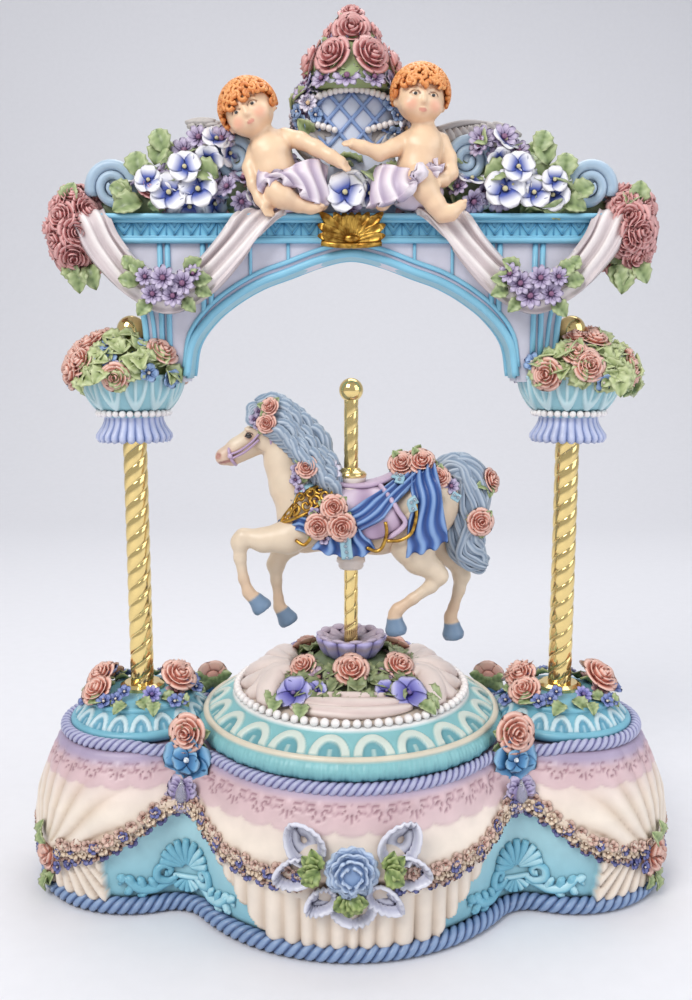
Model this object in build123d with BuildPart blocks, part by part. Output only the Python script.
from build123d import *
import math
import os

# Carousel music box: one galloping horse on a brass pole, under an arch that stands on two brass
# columns, on a three-lobed base that hides the musical movement. Millimetres, +Z up, origin on the
# floor midway between the columns, +X to the right and +Y to the back, where the winding key is.

# ---------------------------------------------------------------- driving dimensions
# Base
LOBE_R = 60.0            # middle lobe at the floor
WING_R = 35.0            # side lobes at the floor
WING_X = 72.0            # side lobe and column axes
NOTCH_R = 12.0           # round between the lobes
PLINTH_H = 6.0
DECK_Z = 52.0            # top of the base
DECK_T = 5.0
WALL_TAPER = 5.5         # lean of the base walls, degrees
WALL_T = 9.0             # from the floor outline to the hollow
PLATE_T = 3.0
SCREW_BOSS_R = 4.0
SCREW_PILOT_R = 1.5
FIT = 0.05               # radial running clearance

# Domes, cup and columns
DOME_R = 50.5
DOME_TOP = 75.0
PEARL_R = 39.0
PEARL_Z = 63.7
STRAND_R = 1.7
SIDE_DOME_R = 23.0
SIDE_DOME_TOP = 64.0
CUP_R = 11.0
CUP_TOP = 82.0
GUIDE_R = 4.9            # tube that guides the pole
HUB_R = 5.0              # hole that it stands in
BUSHING_H = 5.0
COLUMN_R = 4.0
COLUMN_WALL = 1.2
COLUMN_Z0, COLUMN_Z1 = 66.0, 149.3
FLANGE_R = 7.5
ROD_R = 1.5
ROD_HOLE_R = ROD_R + 0.1
ROD_Z0 = 41.0
NUT_H = 3.0

# Arch, cornice and what stands on them
URN_R = 16.5
URN_RIM_Z = 171.0
URN_LIP_R = 14.2
BOUQUET_R, BOUQUET_H = 19.5, 12.0
FINIAL_R = 4.75
FINIAL_Z = 185.3
FINIAL_STEM_R = 2.6
LEG_IN, LEG_OUT, LEG_FOOT = 53.5, 65.5, 168.6
ARCH_D = 14.0
CROWN_Z = 209.9
BEAM_Z0, BEAM_Z1 = 212.0, 220.8
BEAM_X = 79.5
BEAM_D = 20.0
SHELL_RX, SHELL_RZ, SHELL_Z = 10.0, 9.0, 211.0
SHELL_Y, SHELL_T = -12.5, 2.6
SWAG_X, SWAG_LOW = 55.0, 191.0
SWAG_Y, SWAG_T = -14.5, 4.2
SCROLL_D = 10.0
LATTICE_D = 8.0
PYRAMID_Z, PYRAMID_R = 259.1, 15.0
APEX_Z = 285.0
BOW_Y, BOW_T, BOW_Z = -64.0, 11.0, 31.0

# Horse and pole
POLE_R = 2.4
POLE_TOP = 164.0
BALL_R = 4.0
BALL_Z = 165.8
LIFT = 12.0
GUIDE_PIN_R, GUIDE_PIN_L = 1.0, 9.6
GUIDE_PIN_Z = DECK_Z + 3.0
SLOT_W = 2.2
UPPER_COLLAR_R, UPPER_COLLAR_Z, UPPER_COLLAR_H = 4.5, 134.2, 4.6
LOWER_COLLAR_R, LOWER_COLLAR_Z, LOWER_COLLAR_H = 4.3, 105.7, 5.0
SADDLE_R, SADDLE_Z = 13.2, 122.7
SADDLE_X, SADDLE_L = -8.0, 20.0

# Movement, every axis along Y
CAM_X, CAM_Z = 0.0, 24.0
CAM_R0 = 6.0             # heart cam's least radius; its greatest is LIFT more
CAM_T = 6.0
TIP_GAP = 0.06           # oil film between follower and cam
DRIVE_M = 0.7            # module of barrel, cylinder and idler pinion
TRAIN_M = 0.5            # module of idler wheel and governor pinion
BARREL_TEETH, CYLINDER_TEETH, IDLER_PINION_TEETH = 44, 24, 12
IDLER_TEETH, GOVERNOR_TEETH = 40, 10
BARREL_R = 13.0
CYLINDER_R = 7.0
PINS = 5                 # round the cylinder, for each tooth that has any
COMB_TEETH = 18
COMB_Y0, COMB_Y1 = 9.5, 25.0
COMB_X, COMB_W = 20.5, 9.0
COMB_SCREWS_Y = (13.0, 21.5)
BED_SCREWS_X, BED_SCREWS_Y = (-35.0, 27.8), (12.0, 26.0)
ARBOR_R = 1.5
KEY_ARBOR_R = 2.0
KEY_Y = 56.0
KEY_HUB_R = 3.6
KEY_T = 2.5
BUSH_R = 4.5
IDLER_ARBOR_R, GOVERNOR_ARBOR_R = 1.0, 0.8
IDLER_DIRECTION = 50.0   # from the cylinder's axis to the idler's, degrees above +X
GOVERNOR_DIRECTION = -30.0
FRONT_PLATE_Y, REAR_PLATE_Y = 5.0, 31.0
FRAME_T = 2.0
GEAR_Y, GEAR_T = 27.5, 2.5
TRAIN_Y, TRAIN_T = 34.5, 2.0
FLY_Y, FLY_L = 37.6, 3.6
FLY_W = 12.0
BRIDGE_Y, BRIDGE_T = 42.0, 1.2

BARREL_X = CAM_X - DRIVE_M * (BARREL_TEETH + CYLINDER_TEETH) / 2
IDLER_GAP = DRIVE_M * (CYLINDER_TEETH + IDLER_PINION_TEETH) / 2
IDLER_X = CAM_X + IDLER_GAP * math.cos(math.radians(IDLER_DIRECTION))
IDLER_Z = CAM_Z + IDLER_GAP * math.sin(math.radians(IDLER_DIRECTION))
GOVERNOR_GAP = TRAIN_M * (IDLER_TEETH + GOVERNOR_TEETH) / 2
GOVERNOR_X = IDLER_X + GOVERNOR_GAP * math.cos(math.radians(GOVERNOR_DIRECTION))
GOVERNOR_Z = IDLER_Z + GOVERNOR_GAP * math.sin(math.radians(GOVERNOR_DIRECTION))

COMB_PITCH = (COMB_Y1 - COMB_Y0 - 0.6) / (COMB_TEETH - 1)
TIP_Z = CAM_Z + CAM_R0 + TIP_GAP
POLE_Z0 = TIP_Z + POLE_R + 1.5
ROD_Z1 = FINIAL_Z - 1
GUIDE_L = DOME_TOP - BUSHING_H - 0.2 - (DECK_Z - DECK_T)

ON_FACE = (Align.CENTER, Align.CENTER, Align.MIN)
SIDES = (("left", -1), ("right", 1))

os.makedirs("parts", exist_ok=True)


# ---------------------------------------------------------------- helpers
def save(builder, name):
    """Labels a finished sub-part and writes its STEP file."""
    builder.part.label = name
    export_step(builder.part, f"parts/{name}.step")


def trefoil(inset):
    """The base's outline, as a face in the current sketch, a given distance inside the floor line."""
    Circle(LOBE_R - inset)
    with Locations((WING_X, 0), (-WING_X, 0)):
        Circle(WING_R - inset)


def at_y(y):
    """An XZ plane at a given depth: sketch X is the object's X, sketch Y is its Z."""
    return Plane.XZ.offset(-y)


def rod_y(x, z, y0, y1, radius, mode=Mode.ADD):
    """A round bar along Y, in the current part."""
    with BuildSketch(at_y(y0)) as section:
        with Locations((x, z)):
            Circle(radius)
    extrude(section.sketch, amount=-(y1 - y0), mode=mode)


def limb(points):
    """A chain of tapering round stretches through (x, y, z, radius) points, in the current part."""
    for start, end in zip(points, points[1:]):
        a, b = Vector(*start[:3]), Vector(*end[:3])
        along = b - a
        with BuildSketch(Plane(origin=a, z_dir=along)) as near:
            Circle(start[3])
        with BuildSketch(Plane(origin=b, z_dir=along)) as far:
            Circle(end[3])
        loft([near.sketch, far.sketch])
    for x, y, z, radius in points:
        with Locations((x, y, z)):
            Sphere(radius * 1.02)


def ellipsoid(centre, rx, rz, mode=Mode.ADD):
    """An ellipsoid of revolution about the vertical through its centre, in the current part."""
    with BuildSketch(Plane(origin=centre, x_dir=(1, 0, 0), z_dir=(0, -1, 0))) as section:
        Ellipse(rx, rz)
        with Locations((-rx, 0)):
            Rectangle(2 * rx, 3 * rz, mode=Mode.SUBTRACT)
    revolve(section.sketch, axis=Axis(centre, (0, 0, 1)), mode=mode)


def gear_face(x, z, teeth, module, phase):
    """A spur gear's outline in the current sketch, one tooth centred on the phase angle, in degrees."""
    pressure = math.radians(20)
    pitch_r = module * teeth / 2
    base_r = pitch_r * math.cos(pressure)
    root_r = pitch_r - 1.15 * module
    tip_r = pitch_r + 0.75 * module
    half_pitch = math.pi / (2 * teeth) - 0.06 / pitch_r
    flank = []
    for step in range(5):
        r = max(base_r, root_r) + (tip_r - max(base_r, root_r)) * step / 4
        roll = math.acos(min(1.0, base_r / r))
        half = half_pitch + (math.tan(pressure) - pressure) - (math.tan(roll) - roll)
        flank.append((r, half))
    outline = []
    for tooth in range(teeth):
        middle = math.radians(phase) + 2 * math.pi * tooth / teeth
        side = flank if root_r >= base_r else [(root_r, flank[0][1])] + flank
        for r, half in side:
            outline.append((x + r * math.cos(middle - half), z + r * math.sin(middle - half)))
        for r, half in reversed(side):
            outline.append((x + r * math.cos(middle + half), z + r * math.sin(middle + half)))
    with BuildLine() as rim:
        Polyline(*outline, close=True)
    make_face(rim.edges())


def mated_phase(phase, direction, teeth, mate_teeth):
    """The phase of a gear that meshes with one of a known phase, lying in a known direction from it."""
    return direction + 180 + 180 / mate_teeth - (phase - direction) * teeth / mate_teeth


# ---------------------------------------------------------------- base
PLATE_SCREWS = [(-WING_X - 12, 0), (WING_X + 12, 0), (0, -40), (36, 24)]
with BuildPart() as base_shell:
    with BuildSketch():
        trefoil(0)
        fillet(vertices().filter_by(lambda v: abs(v.Y) > 10), NOTCH_R)
    extrude(amount=PLINTH_H)
    with BuildSketch(Plane.XY.offset(PLINTH_H)):
        trefoil(2.5)
        fillet(vertices().filter_by(lambda v: abs(v.Y) > 10), NOTCH_R)
    extrude(amount=DECK_Z - PLINTH_H, taper=WALL_TAPER)
    with BuildSketch():
        trefoil(WALL_T)
        fillet(vertices().filter_by(lambda v: abs(v.Y) > 5), NOTCH_R / 2)
    extrude(amount=DECK_Z - DECK_T, mode=Mode.SUBTRACT)
    with Locations((0, 0, DECK_Z - DECK_T)):
        Cylinder(HUB_R, 2 * DECK_T, mode=Mode.SUBTRACT)
    with Locations((WING_X, 0, DECK_Z - DECK_T), (-WING_X, 0, DECK_Z - DECK_T)):
        Cylinder(ROD_HOLE_R, 2 * DECK_T, mode=Mode.SUBTRACT)
    rod_y(BARREL_X, CAM_Z, 40, 70, BUSH_R, Mode.SUBTRACT)
    for x, y in PLATE_SCREWS:
        with Locations((x, y, PLATE_T)):
            Cylinder(SCREW_BOSS_R, DECK_Z - DECK_T - PLATE_T + 1, align=ON_FACE)
            Cylinder(SCREW_PILOT_R, 12, align=ON_FACE, mode=Mode.SUBTRACT)
save(base_shell, "base_shell")

with BuildPart() as base_plate:
    with BuildSketch():
        trefoil(WALL_T + 0.2)
        fillet(vertices().filter_by(lambda v: abs(v.Y) > 5), NOTCH_R / 2)
    extrude(amount=PLATE_T)
    for x, y in PLATE_SCREWS:
        with Locations(Plane(origin=(x, y, 0), z_dir=(0, 0, -1))):
            CounterSinkHole(1.6, 3.0, PLATE_T)
save(base_plate, "base_plate")

with BuildPart() as plate_screws:
    for x, y in PLATE_SCREWS:
        with BuildSketch(Plane(origin=(x, y, 0), x_dir=(1, 0, 0), z_dir=(0, -1, 0))):
            with BuildLine():
                Polyline((0, 0.2), (2.7, 0.2), (1.4, 1.6), (1.4, 9.5), (0, 10.2), close=True)
            make_face()
        revolve(axis=Axis((x, y, 0), (0, 0, 1)))
        with Locations((x, y, 0.5)):
            Box(4, 0.6, 0.8, mode=Mode.SUBTRACT)
save(plate_screws, "plate_screws")

# ---------------------------------------------------------------- domes, pearls and cup
with BuildPart() as centre_dome:
    with BuildSketch(Plane.XZ):
        with BuildLine():
            Polyline((30, DECK_Z), (DOME_R, DECK_Z), (DOME_R, DECK_Z + 3.5), (DOME_R - 2.5, DECK_Z + 5))
            Spline((DOME_R - 2.5, DECK_Z + 5), (45, 61.5), (PEARL_R + 1, 64.2), (31, 67.5), (CUP_R + 2, DOME_TOP))
            Polyline((CUP_R + 2, DOME_TOP), (5, DOME_TOP), (5, DOME_TOP - 5), (CUP_R, DOME_TOP - 5))
            Spline((CUP_R, DOME_TOP - 5), (24, 65.5), (30, 59), (30, DECK_Z))
        make_face()
    revolve(axis=Axis.Z)
save(centre_dome, "centre_dome")

with BuildPart() as pearl_strand:
    with Locations((0, 0, PEARL_Z + 2.1)):
        Torus(PEARL_R, STRAND_R)
    add(centre_dome.part, mode=Mode.SUBTRACT)
save(pearl_strand, "pearl_strand")

with BuildPart() as tulip_cup:
    with BuildSketch(Plane.XZ):
        with BuildLine():
            Polyline((4.2, DOME_TOP), (7, DOME_TOP))
            Spline((7, DOME_TOP), (9.8, DOME_TOP + 2.5), (CUP_R, CUP_TOP))
            Polyline((CUP_R, CUP_TOP), (CUP_R - 1.4, CUP_TOP))
            Spline((CUP_R - 1.4, CUP_TOP), (7.8, DOME_TOP + 3.6), (4.2, DOME_TOP + 2))
            Line((4.2, DOME_TOP + 2), (4.2, DOME_TOP))
        make_face()
    revolve(axis=Axis.Z)
save(tulip_cup, "tulip_cup")

# A slotted tube under the dome guides the pole, and its slots keep the horse facing forward.
with BuildPart() as guide_tube:
    with BuildSketch(Plane.XY.offset(DECK_Z - DECK_T)):
        Circle(GUIDE_R)
    extrude(amount=GUIDE_L)
    with BuildSketch(Plane.XY.offset(DECK_Z)):
        Circle(8)
    extrude(amount=1.5)
    with BuildSketch(Plane.XY.offset(DECK_Z - DECK_T)):
        Circle(POLE_R + FIT)
    extrude(amount=GUIDE_L, mode=Mode.SUBTRACT)
    with BuildSketch(Plane.YZ):
        with Locations((0, DECK_Z + 1.5)):
            Rectangle(SLOT_W, 30, align=(Align.CENTER, Align.MIN))
    extrude(amount=10, both=True, mode=Mode.SUBTRACT)
save(guide_tube, "guide_tube")

with BuildPart() as pole_bushing:
    with BuildSketch(Plane.XY.offset(DOME_TOP - BUSHING_H)):
        Circle(HUB_R - FIT)
        Circle(POLE_R + FIT, mode=Mode.SUBTRACT)
    extrude(amount=BUSHING_H)
    with BuildSketch(Plane.XY.offset(DOME_TOP)):
        Circle(4.1)
        Circle(POLE_R + FIT, mode=Mode.SUBTRACT)
    extrude(amount=2)
save(pole_bushing, "pole_bushing")

for side, sign in SIDES:
    x = sign * WING_X
    with BuildPart() as side_dome:
        with BuildSketch(Plane(origin=(x, 0, 0), x_dir=(1, 0, 0), z_dir=(0, -1, 0))):
            with BuildLine():
                Polyline((ROD_HOLE_R, DECK_Z), (SIDE_DOME_R, DECK_Z), (SIDE_DOME_R, DECK_Z + 3.5))
                Spline((SIDE_DOME_R, DECK_Z + 3.5), (18, 60), (11, SIDE_DOME_TOP))
                Polyline((11, SIDE_DOME_TOP), (ROD_HOLE_R, SIDE_DOME_TOP), (ROD_HOLE_R, DECK_Z))
            make_face()
        revolve(axis=Axis((x, 0, 0), (0, 0, 1)))
        add(centre_dome.part, mode=Mode.SUBTRACT)
    save(side_dome, f"{side}_dome")

# ---------------------------------------------------------------- columns, rods and urns
with BuildPart() as column_flanges:
    for x in (-WING_X, WING_X):
        with BuildSketch(Plane(origin=(x, 0, 0), x_dir=(1, 0, 0), z_dir=(0, -1, 0))):
            with BuildLine():
                Polyline((ROD_HOLE_R, SIDE_DOME_TOP), (FLANGE_R, SIDE_DOME_TOP), (FLANGE_R, 65.2), (6, COLUMN_Z0),
                         (ROD_HOLE_R, COLUMN_Z0), close=True)
            make_face()
        revolve(axis=Axis((x, 0, 0), (0, 0, 1)))
save(column_flanges, "column_flanges")

for side, sign in SIDES:
    x = sign * WING_X
    with BuildPart() as column:
        with BuildSketch(Plane.XY.offset(COLUMN_Z0)):
            with Locations((x, 0)):
                Circle(COLUMN_R)
                Circle(COLUMN_R - COLUMN_WALL, mode=Mode.SUBTRACT)
        extrude(amount=COLUMN_Z1 - COLUMN_Z0)
    save(column, f"{side}_column")

with BuildPart() as tie_rods:
    for x in (-WING_X, WING_X):
        with Locations((x, 0, ROD_Z0)):
            Cylinder(ROD_R, ROD_Z1 - ROD_Z0, align=ON_FACE)
save(tie_rods, "tie_rods")

with BuildPart() as tie_rod_nuts:
    for x in (-WING_X, WING_X):
        with BuildSketch(Plane.XY.offset(DECK_Z - DECK_T - NUT_H)):
            with Locations((x, 0)):
                RegularPolygon(3.2, 6)
                Circle(ROD_R, mode=Mode.SUBTRACT)
        extrude(amount=NUT_H)
save(tie_rod_nuts, "tie_rod_nuts")

for side, sign in SIDES:
    x = sign * WING_X
    up = Plane(origin=(x, 0, 0), x_dir=(1, 0, 0), z_dir=(0, -1, 0))
    with BuildPart() as urn:
        with BuildSketch(up):
            with BuildLine():
                Polyline((ROD_HOLE_R, COLUMN_Z1), (11.4, COLUMN_Z1), (12.1, 151.3))
                Spline((12.1, 151.3), (10.4, 153.6), (9.6, 157), (11.3, 158.5), (14.6, 161.5), (16, 166),
                       (URN_R, URN_RIM_Z))
                Polyline((URN_R, URN_RIM_Z), (URN_LIP_R, URN_RIM_Z), (13.6, LEG_FOOT), (ROD_HOLE_R, LEG_FOOT),
                         (ROD_HOLE_R, COLUMN_Z1))
            make_face()
        revolve(axis=Axis((x, 0, 0), (0, 0, 1)))
        with BuildSketch(Plane.XY.offset(LEG_FOOT)):
            with Locations((sign * (LEG_IN + LEG_OUT) / 2, 0)):
                Rectangle(LEG_OUT - LEG_IN + 0.4, ARCH_D + 0.4)
        extrude(amount=5, mode=Mode.SUBTRACT)
    save(urn, f"{side}_urn")

    # The flowers fill the bowl and leave room for the arch's foot and the finial's stem.
    with BuildPart() as bouquet:
        ellipsoid((x + sign * 1.5, 0, URN_RIM_Z + 1), BOUQUET_R, BOUQUET_H)
        with BuildSketch(Plane.XY.offset(140)):
            with Locations((x, 0)):
                Circle(60)
        extrude(amount=URN_RIM_Z + 0.1 - 140, mode=Mode.SUBTRACT)
        with Locations((x, 0, 168)):
            Cylinder(4.9, 40, align=ON_FACE, mode=Mode.SUBTRACT)
        with BuildSketch(Plane.XY.offset(160)):
            with Locations((sign * (LEG_OUT + 2.2 - 20), 0)):
                Rectangle(40, 60)
        extrude(amount=40, mode=Mode.SUBTRACT)
    save(bouquet, f"{side}_bouquet")

# Each ball is the nut on top of its tie rod.
with BuildPart() as finials:
    for x in (-WING_X, WING_X):
        with Locations((x, 0, FINIAL_Z)):
            Sphere(FINIAL_R)
        with Locations((x, 0, LEG_FOOT)):
            Cylinder(FINIAL_STEM_R, 12.5, align=ON_FACE)
            Cylinder(ROD_R, ROD_Z1 - LEG_FOOT, align=ON_FACE, mode=Mode.SUBTRACT)
save(finials, "finials")

# ---------------------------------------------------------------- arch, cornice and pediment
with BuildPart() as arch_frame:
    with BuildSketch(Plane.XZ):
        with BuildLine():
            Polyline((-BEAM_X + 1, BEAM_Z0), (BEAM_X - 1, BEAM_Z0), (BEAM_X - 1.4, 206.5))
            Spline((BEAM_X - 1.4, 206.5), (71.5, 200), (66.8, 187), (LEG_OUT, LEG_FOOT))
            Line((LEG_OUT, LEG_FOOT), (LEG_IN, LEG_FOOT))
            Spline((LEG_IN, LEG_FOOT), (51, 180.5), (37.5, 194.8), (20, 202.5), (0, CROWN_Z))
            Spline((0, CROWN_Z), (-20, 202.5), (-37.5, 194.8), (-51, 180.5), (-LEG_IN, LEG_FOOT))
            Line((-LEG_IN, LEG_FOOT), (-LEG_OUT, LEG_FOOT))
            Spline((-LEG_OUT, LEG_FOOT), (-66.8, 187), (-71.5, 200), (-BEAM_X + 1.4, 206.5))
            Line((-BEAM_X + 1.4, 206.5), (-BEAM_X + 1, BEAM_Z0))
        make_face()
    extrude(amount=ARCH_D / 2, both=True)
save(arch_frame, "arch_frame")

with BuildPart() as cornice:
    with BuildSketch(Plane.YZ):
        with BuildLine():
            Polyline((-8, BEAM_Z0), (8, BEAM_Z0), (8.6, 213.4), (8, 214.2), (8, 218.4), (9, 219), (BEAM_D / 2, 220),
                     (BEAM_D / 2, BEAM_Z1), (-BEAM_D / 2, BEAM_Z1), (-BEAM_D / 2, 220), (-9, 219), (-8, 218.4),
                     (-8, 214.2), (-8.6, 213.4), close=True)
        make_face()
    extrude(amount=BEAM_X, both=True)
save(cornice, "cornice")

with BuildPart() as gold_shell:
    with BuildSketch(at_y(SHELL_Y)):
        with Locations((0, SHELL_Z)):
            Ellipse(SHELL_RX, SHELL_RZ)
    extrude(amount=-SHELL_T)
save(gold_shell, "gold_shell")

swags, scrolls = {}, {}
for side, sign in SIDES:
    with BuildPart() as swag:
        with BuildSketch(at_y(SWAG_Y)):
            with BuildLine():
                Polyline((sign * 35, 226), (sign * 75, 226))
                Spline((sign * 75, 226), (sign * 70, 205), (sign * SWAG_X, SWAG_LOW), (sign * 42, 203),
                       (sign * 35, 226))
            make_face()
        extrude(amount=-SWAG_T)
        with BuildSketch(at_y(SWAG_Y)):
            with Locations((sign * SWAG_X, 223.6)):
                Rectangle(40, 5)
        extrude(amount=-20)
        add(cornice.part, mode=Mode.SUBTRACT)
    save(swag, f"{side}_swag")
    swags[side] = swag.part

    with BuildPart() as scroll:
        with BuildSketch(at_y(-SCROLL_D / 2)):
            with BuildLine():
                Polyline((sign * 77, BEAM_Z1), (sign * 14, BEAM_Z1))
                Spline((sign * 14, BEAM_Z1), (sign * 16, 243), (sign * 30, 245), (sign * 44, 236), (sign * 60, 228),
                       (sign * 72, 236), (sign * 78, 230), (sign * 77, BEAM_Z1))
            make_face()
        extrude(amount=-SCROLL_D)
        add(swag.part, mode=Mode.SUBTRACT)
    save(scroll, f"{side}_scroll")
    scrolls[side] = scroll.part

with BuildPart() as cornice_roses:
    for sign in (-1, 1):
        for x, y, z, r in ((87, 0, 216.5, 7.4), (85.5, -4.5, 208.5, 6), (88.5, 3, 208, 5.6)):
            with Locations((sign * x, y, z)):
                Sphere(r)
    with Locations((0, 0, 200)):
        Box(2 * BEAM_X + 0.2, 60, 100, mode=Mode.SUBTRACT)
save(cornice_roses, "cornice_roses")

with BuildPart() as lattice_panel:
    with BuildSketch(at_y(-LATTICE_D / 2)):
        with BuildLine():
            Polyline((-13.8, BEAM_Z1), (13.8, BEAM_Z1))
            Spline((13.8, BEAM_Z1), (12.5, 240), (17, 252), (9, 259))
            Line((9, 259), (-9, 259))
            Spline((-9, 259), (-17, 252), (-12.5, 240), (-13.8, BEAM_Z1))
        make_face()
    extrude(amount=-LATTICE_D)
    for scroll in scrolls.values():
        add(scroll, mode=Mode.SUBTRACT)
save(lattice_panel, "lattice_panel")

with BuildPart() as rose_pyramid:
    with BuildSketch(Plane.XZ):
        with BuildLine():
            Line((0, PYRAMID_Z), (PYRAMID_R, PYRAMID_Z))
            Spline((PYRAMID_R, PYRAMID_Z), (15.5, 265), (8, 275), (0, APEX_Z))
            Line((0, APEX_Z), (0, PYRAMID_Z))
        make_face()
    revolve(axis=Axis.Z)
save(rose_pyramid, "rose_pyramid")

# Each cherub sits on the cornice in front of its scroll, reaching towards the other.
for side, sign, head, lean in (("left", -1, (-31, -12, 249), 4.0), ("right", 1, (21, -12, 255), -3.0)):
    hip = (head[0] + sign * lean, -12, 229)
    with BuildPart() as cherub:
        limb([(hip[0], hip[1], hip[2], 7.2), (head[0] + sign * 1, -12, head[2] - 9.5, 5.2)])
        with Locations(head):
            Sphere(6.3)
        limb([(head[0], -16, head[2] - 9, 2.2), (head[0] - sign * 9, -18, head[2] - 12, 1.9),
              (head[0] - sign * 16, -18, head[2] - 8, 1.6)])
        limb([(hip[0], -16, 227.5, 4.2), (hip[0] - sign * 9, -20, 225.5, 3.2), (hip[0] - sign * 5, -18, 217.5, 2.3)])
        with BuildSketch(at_y(-9)):
            with Locations((head[0] + sign * 9, head[2] - 9)):
                Ellipse(7, 9, rotation=sign * -25)
        extrude(amount=-3)
        for built in (cornice.part, swags[side]):
            add(built, mode=Mode.SUBTRACT)
        with BuildSketch(at_y(-SCROLL_D / 2 - FIT)):
            Rectangle(400, 700)
        extrude(amount=-30, mode=Mode.SUBTRACT)
    save(cherub, f"{side}_cherub")

with BuildPart() as front_bow:
    with BuildSketch(at_y(BOW_Y)):
        with Locations((0, BOW_Z)):
            Circle(7.5)
        for sign in (-1, 1):
            for x, z, r in ((9, 33, 5.4), (16.5, 36, 4.8), (8.5, 26, 5), (14, 21.5, 4)):
                with Locations((sign * x, z)):
                    Circle(r)
    extrude(amount=-BOW_T)
save(front_bow, "front_bow")

# ---------------------------------------------------------------- movement, fixed pieces
with BuildPart() as movement_frame:
    bed = [(-37.5, PLATE_T), (31, PLATE_T), (31, PLATE_T + 2), (-37.5, PLATE_T + 2)]
    with BuildSketch(at_y(FRONT_PLATE_Y)):
        with BuildLine():
            Polyline(*bed, close=True)
        make_face()
    extrude(amount=-(REAR_PLATE_Y + FRAME_T - FRONT_PLATE_Y))
    for y in (FRONT_PLATE_Y, REAR_PLATE_Y):
        with BuildSketch(at_y(y)):
            with BuildLine():
                Polyline((-38, PLATE_T + 1), (26, PLATE_T + 1), (26, 32), (16, 40), (-30, 40), (-38, 32), close=True)
            make_face()
        extrude(amount=-FRAME_T)
    with BuildSketch(at_y(COMB_Y0)):
        with Locations((COMB_X, PLATE_T + 1)):
            Rectangle(COMB_W, CAM_Z - 1 - PLATE_T - 1, align=(Align.CENTER, Align.MIN))
    extrude(amount=-(COMB_Y1 - COMB_Y0))
    rod_y(CAM_X, CAM_Z, 0, 40, ARBOR_R + FIT, Mode.SUBTRACT)
    rod_y(BARREL_X, CAM_Z, 0, 40, KEY_ARBOR_R + FIT, Mode.SUBTRACT)
    rod_y(IDLER_X, IDLER_Z, 20, 40, IDLER_ARBOR_R + FIT, Mode.SUBTRACT)
    rod_y(GOVERNOR_X, GOVERNOR_Z, 20, 40, GOVERNOR_ARBOR_R + FIT, Mode.SUBTRACT)
    for y in COMB_SCREWS_Y:
        with Locations((COMB_X, y, CAM_Z - 1)):
            Cylinder(0.9, 8, mode=Mode.SUBTRACT)
    for x in BED_SCREWS_X:
        for y in BED_SCREWS_Y:
            with Locations((x, y, PLATE_T + 1)):
                Cylinder(1.3, 4, mode=Mode.SUBTRACT)
save(movement_frame, "movement_frame")

# Eighteen tuned teeth, each a separate tongue beside the pinned cylinder.
with BuildPart() as comb:
    with BuildSketch(Plane.XY.offset(CAM_Z - 1)):
        with Locations((COMB_X, (COMB_Y0 + COMB_Y1) / 2)):
            Rectangle(COMB_W, COMB_Y1 - COMB_Y0)
    extrude(amount=1.6)
    for y in COMB_SCREWS_Y:
        with Locations((COMB_X, y, CAM_Z)):
            Cylinder(1.05, 8, mode=Mode.SUBTRACT)
    with BuildSketch(Plane.XY.offset(CAM_Z - 0.4)):
        with Locations(*[(12.6, COMB_Y0 + 0.3 + COMB_PITCH * tooth) for tooth in range(COMB_TEETH)]):
            Rectangle(7.4, COMB_PITCH * 0.7)
    extrude(amount=0.8)
save(comb, "comb")

with BuildPart() as movement_screws:
    for y in COMB_SCREWS_Y:
        with Locations((COMB_X, y, CAM_Z - 4)):
            Cylinder(0.88, 4.6, align=ON_FACE)
        with Locations((COMB_X, y, CAM_Z + 0.6)):
            Cylinder(1.8, 1.2, align=ON_FACE)
    for x in BED_SCREWS_X:
        for y in BED_SCREWS_Y:
            with Locations((x, y, PLATE_T)):
                Cylinder(1.28, 2, align=ON_FACE)
            with Locations((x, y, PLATE_T + 2)):
                Cylinder(2.2, 1.2, align=ON_FACE)
save(movement_screws, "movement_screws")

with BuildPart() as governor_bridge:
    with BuildSketch(at_y(BRIDGE_Y)):
        with Locations((GOVERNOR_X + 1, GOVERNOR_Z)):
            Rectangle(7, 23)
    extrude(amount=-BRIDGE_T)
    for z in (GOVERNOR_Z - 10, GOVERNOR_Z + 10):
        rod_y(GOVERNOR_X + 2.5, z, REAR_PLATE_Y + FRAME_T, BRIDGE_Y, 1.3)
    rod_y(GOVERNOR_X, GOVERNOR_Z, 30, 50, GOVERNOR_ARBOR_R + FIT, Mode.SUBTRACT)
save(governor_bridge, "governor_bridge")

with BuildPart() as key_bushing:
    rod_y(BARREL_X, CAM_Z, 43.5, 53.5, BUSH_R - FIT)
    rod_y(BARREL_X, CAM_Z, 40, 60, KEY_ARBOR_R + FIT, Mode.SUBTRACT)
save(key_bushing, "key_bushing")

# ---------------------------------------------------------------- movement, turning pieces
BARREL_PHASE = 0.0
CYLINDER_PHASE = mated_phase(BARREL_PHASE, 0, BARREL_TEETH, CYLINDER_TEETH)
PINION_PHASE = mated_phase(CYLINDER_PHASE, IDLER_DIRECTION, CYLINDER_TEETH, IDLER_PINION_TEETH)
IDLER_PHASE = GOVERNOR_DIRECTION
GOVERNOR_PHASE = mated_phase(IDLER_PHASE, GOVERNOR_DIRECTION, IDLER_TEETH, GOVERNOR_TEETH)

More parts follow.
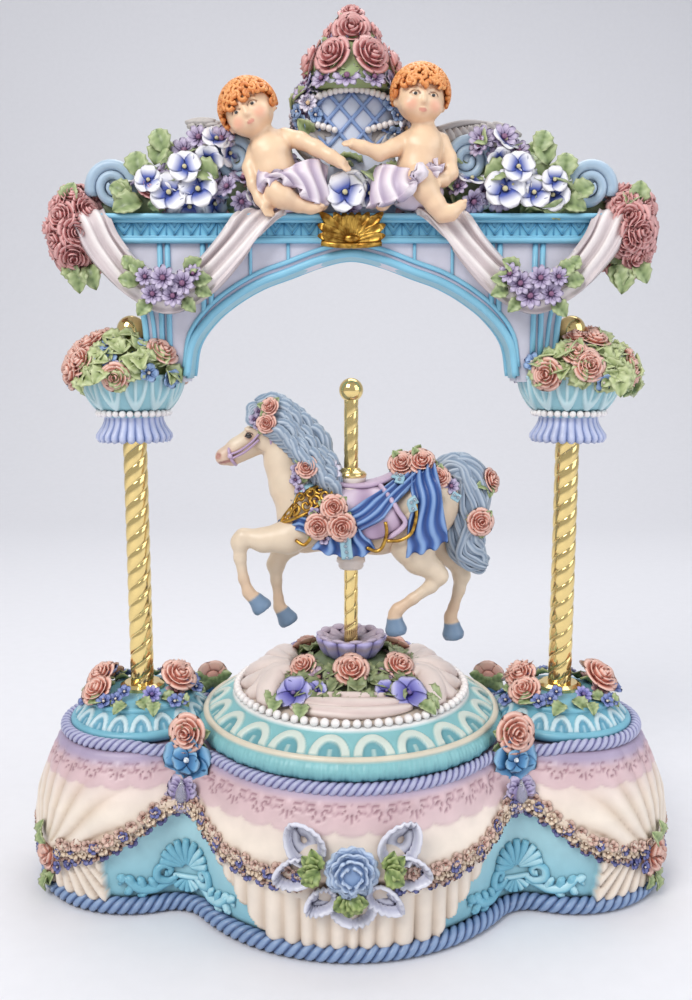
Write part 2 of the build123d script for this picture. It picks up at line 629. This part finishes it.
with BuildPart() as music_cylinder:
    rod_y(CAM_X, CAM_Z, -5, 36, ARBOR_R)
    rod_y(CAM_X, CAM_Z, 8.6, 26, CYLINDER_R)
    with BuildSketch(at_y(GEAR_Y)):
        gear_face(CAM_X, CAM_Z, CYLINDER_TEETH, DRIVE_M, CYLINDER_PHASE)
    extrude(amount=-GEAR_T)
    for tooth in range(0, COMB_TEETH, 2):
        for pin in range(PINS):
            turn = 360 * pin / PINS + 47 * tooth
            place = Location((CAM_X, COMB_Y0 + 0.3 + COMB_PITCH * tooth, CAM_Z), (0, turn, 0))
            with Locations(place):
                with Locations((0, 0, CYLINDER_R)):
                    Cylinder(0.2, 1.4)
save(music_cylinder, "music_cylinder")

# A heart cam: its radius grows evenly over half a turn and shrinks evenly over the other half.
with BuildPart() as lift_cam:
    steps = 16
    right = []
    for step in range(steps + 1):
        angle = math.pi * step / steps
        r = CAM_R0 + LIFT * step / steps
        right.append((CAM_X + r * math.sin(angle), CAM_Z + r * math.cos(angle)))
    left = [(2 * CAM_X - x, z) for x, z in reversed(right)]
    with BuildSketch(at_y(-CAM_T / 2)):
        with BuildLine():
            Spline(*right)
            Spline(*left)
        make_face()
        with Locations((CAM_X, CAM_Z)):
            Circle(ARBOR_R, mode=Mode.SUBTRACT)
    extrude(amount=-CAM_T)
save(lift_cam, "lift_cam")

with BuildPart() as spring_barrel:
    rod_y(BARREL_X, CAM_Z, 9, 26.5, BARREL_R)
    rod_y(BARREL_X, CAM_Z, 10, 25.5, BARREL_R - 1, Mode.SUBTRACT)
    with BuildSketch(at_y(GEAR_Y)):
        gear_face(BARREL_X, CAM_Z, BARREL_TEETH, DRIVE_M, BARREL_PHASE)
    extrude(amount=-GEAR_T)
    rod_y(BARREL_X, CAM_Z, 26.4, GEAR_Y + 0.1, 5)
    rod_y(BARREL_X, CAM_Z, 0, 40, KEY_ARBOR_R + FIT, Mode.SUBTRACT)
save(spring_barrel, "spring_barrel")

with BuildPart() as mainspring:
    for turn in range(6):
        with BuildSketch(at_y(10.4)):
            with Locations((BARREL_X, CAM_Z)):
                Circle(BARREL_R - 1.1 - 1.3 * turn)
                Circle(BARREL_R - 1.6 - 1.3 * turn, mode=Mode.SUBTRACT)
        extrude(amount=-14.6)
    with BuildSketch(at_y(12)):
        with Locations((BARREL_X + BARREL_R - 1.1, CAM_Z)):
            Rectangle(7.6, 1.2, align=(Align.MAX, Align.CENTER))
    extrude(amount=-11)
    rod_y(BARREL_X, CAM_Z, 9, 27, 4.2, Mode.SUBTRACT)
save(mainspring, "mainspring")

with BuildPart() as idler_wheel:
    rod_y(IDLER_X, IDLER_Z, GEAR_Y - 2, TRAIN_Y + TRAIN_T + 0.5, IDLER_ARBOR_R)
    with BuildSketch(at_y(GEAR_Y)):
        gear_face(IDLER_X, IDLER_Z, IDLER_PINION_TEETH, DRIVE_M, PINION_PHASE)
    extrude(amount=-GEAR_T)
    with BuildSketch(at_y(TRAIN_Y)):
        gear_face(IDLER_X, IDLER_Z, IDLER_TEETH, TRAIN_M, IDLER_PHASE)
    extrude(amount=-TRAIN_T)
save(idler_wheel, "idler_wheel")

with BuildPart() as governor_fly:
    rod_y(GOVERNOR_X, GOVERNOR_Z, REAR_PLATE_Y, BRIDGE_Y + BRIDGE_T, GOVERNOR_ARBOR_R)
    with BuildSketch(at_y(TRAIN_Y)):
        gear_face(GOVERNOR_X, GOVERNOR_Z, GOVERNOR_TEETH, TRAIN_M, GOVERNOR_PHASE)
    extrude(amount=-TRAIN_T)
    with BuildSketch(at_y(FLY_Y)):
        with Locations((GOVERNOR_X, GOVERNOR_Z)):
            Rectangle(FLY_W, 1)
    extrude(amount=-FLY_L)
save(governor_fly, "governor_fly")

with BuildPart() as winding_arbor:
    rod_y(BARREL_X, CAM_Z, FRONT_PLATE_Y - 1, KEY_Y + 8, KEY_ARBOR_R)
    rod_y(BARREL_X, CAM_Z, 10.4, 25, 3.9)
save(winding_arbor, "winding_arbor")

with BuildPart() as winding_key:
    rod_y(BARREL_X, CAM_Z, KEY_Y, KEY_Y + 12, KEY_HUB_R)
    for sign in (-1, 1):
        with BuildSketch(Plane.XY.offset(CAM_Z - KEY_T / 2)):
            with BuildLine():
                Polyline((BARREL_X + sign * 2, KEY_Y + 7), (BARREL_X, KEY_Y + 16), (BARREL_X, KEY_Y + 7))
                Line((BARREL_X, KEY_Y + 7), (BARREL_X + sign * 2, KEY_Y + 7))
            make_face()
            with Locations((BARREL_X + sign * 6.5, KEY_Y + 15)):
                Ellipse(6.2, 6.8)
        extrude(amount=KEY_T)
    rod_y(BARREL_X, CAM_Z, KEY_Y - 1, KEY_Y + 8, KEY_ARBOR_R, Mode.SUBTRACT)
save(winding_key, "winding_key")

# ---------------------------------------------------------------- pole and its fittings
with BuildPart() as cam_follower:
    with BuildSketch(Plane.XZ):
        with BuildLine():
            Polyline((0, TIP_Z), (POLE_R, TIP_Z + POLE_R), (POLE_R, POLE_Z0), (0, POLE_Z0), close=True)
        make_face()
    revolve(axis=Axis.Z)
save(cam_follower, "cam_follower")

with BuildPart() as guide_pin:
    with BuildSketch(Plane.YZ):
        with Locations((0, GUIDE_PIN_Z)):
            Circle(GUIDE_PIN_R)
    extrude(amount=GUIDE_PIN_L / 2, both=True)
save(guide_pin, "guide_pin")

with BuildPart() as centre_pole:
    with BuildSketch(Plane.XY.offset(POLE_Z0)):
        Circle(POLE_R)
    extrude(amount=POLE_TOP - POLE_Z0)
    add(guide_pin.part, mode=Mode.SUBTRACT)
save(centre_pole, "centre_pole")

with BuildPart() as pole_ball:
    with Locations((0, 0, BALL_Z)):
        Sphere(BALL_R)
    add(centre_pole.part, mode=Mode.SUBTRACT)
save(pole_ball, "pole_ball")

# ---------------------------------------------------------------- horse
POLE_HOLE = Cylinder(POLE_R, 300, mode=Mode.PRIVATE)
with BuildPart() as horse:
    limb([(-15, 0, 124, 10.5), (-4, 0, 122.5, 11.5), (10, 0, 123, 11.5), (24, 0, 129, 12)])
    limb([(-15, 0, 127, 9), (-22, 0, 139, 7), (-25.5, 0, 150, 5.4)])
    limb([(-25.5, 0, 151, 5.6), (-33, 0, 147, 4.6), (-40, 0, 143.5, 3.2)])
    for y in (-2.6, 2.6):
        limb([(-24.5, y, 154, 1.8), (-24, y, 160.5, 0.7)])
    add(POLE_HOLE, mode=Mode.SUBTRACT)
save(horse, "horse")

LEGS = {
    "left_fore_leg": [(-17, -6, 117, 5.4), (-28, -6.5, 108, 3.2), (-21, -6.5, 98, 2.3), (-24, -6.5, 93.5, 2.5)],
    "right_fore_leg": [(-15, 6, 116, 5.2), (-16, 6.5, 104, 3.2), (-18.5, 6.5, 92, 2.2), (-22.5, 6.5, 87, 2.5)],
    "left_hind_leg": [(25, -6, 120, 7), (24, -6.5, 108, 4), (30, -6.5, 95, 2.5), (32.5, -6.5, 81.5, 2.6)],
    "right_hind_leg": [(22, 6, 119, 6.6), (16, 6.5, 108, 4), (21, 6.5, 97, 2.4), (15.5, 6.5, 84, 2.6)],
}
for name, points in LEGS.items():
    with BuildPart() as leg:
        limb(points)
        add(horse.part, mode=Mode.SUBTRACT)
        add(POLE_HOLE, mode=Mode.SUBTRACT)
    save(leg, name)

with BuildPart() as mane:
    limb([(-27.5, 0, 158.5, 2.6), (-19.5, 0, 153.5, 4.4), (-14.5, 0, 143, 5.2), (-10.5, 0, 136, 3.6)])
    add(horse.part, mode=Mode.SUBTRACT)
save(mane, "mane")

with BuildPart() as tail:
    limb([(35, 0, 134, 3.2), (42, 0, 131, 5.4), (45, 0, 121, 5.6), (42, 0, 109, 4.4), (37.5, 0, 100, 2.6)])
    add(horse.part, mode=Mode.SUBTRACT)
save(tail, "tail")

with BuildPart() as upper_collar:
    with BuildSketch(Plane.XY.offset(UPPER_COLLAR_Z)):
        Circle(UPPER_COLLAR_R)
        Circle(POLE_R, mode=Mode.SUBTRACT)
    extrude(amount=UPPER_COLLAR_H)
    add(horse.part, mode=Mode.SUBTRACT)
save(upper_collar, "upper_collar")

with BuildPart() as lower_collar:
    with BuildSketch(Plane.XY.offset(LOWER_COLLAR_Z)):
        Circle(LOWER_COLLAR_R)
        Circle(POLE_R, mode=Mode.SUBTRACT)
    extrude(amount=LOWER_COLLAR_H)
    add(horse.part, mode=Mode.SUBTRACT)
save(lower_collar, "lower_collar")

with BuildPart() as saddle:
    with BuildSketch(Plane.YZ.offset(SADDLE_X)):
        with Locations((0, SADDLE_Z)):
            Circle(SADDLE_R)
        with Locations((0, 105)):
            Rectangle(40, 30, mode=Mode.SUBTRACT)
    extrude(amount=SADDLE_L)
    add(horse.part, mode=Mode.SUBTRACT)
    add(upper_collar.part, mode=Mode.SUBTRACT)
    add(mane.part, mode=Mode.SUBTRACT)
    add(POLE_HOLE, mode=Mode.SUBTRACT)
save(saddle, "saddle")
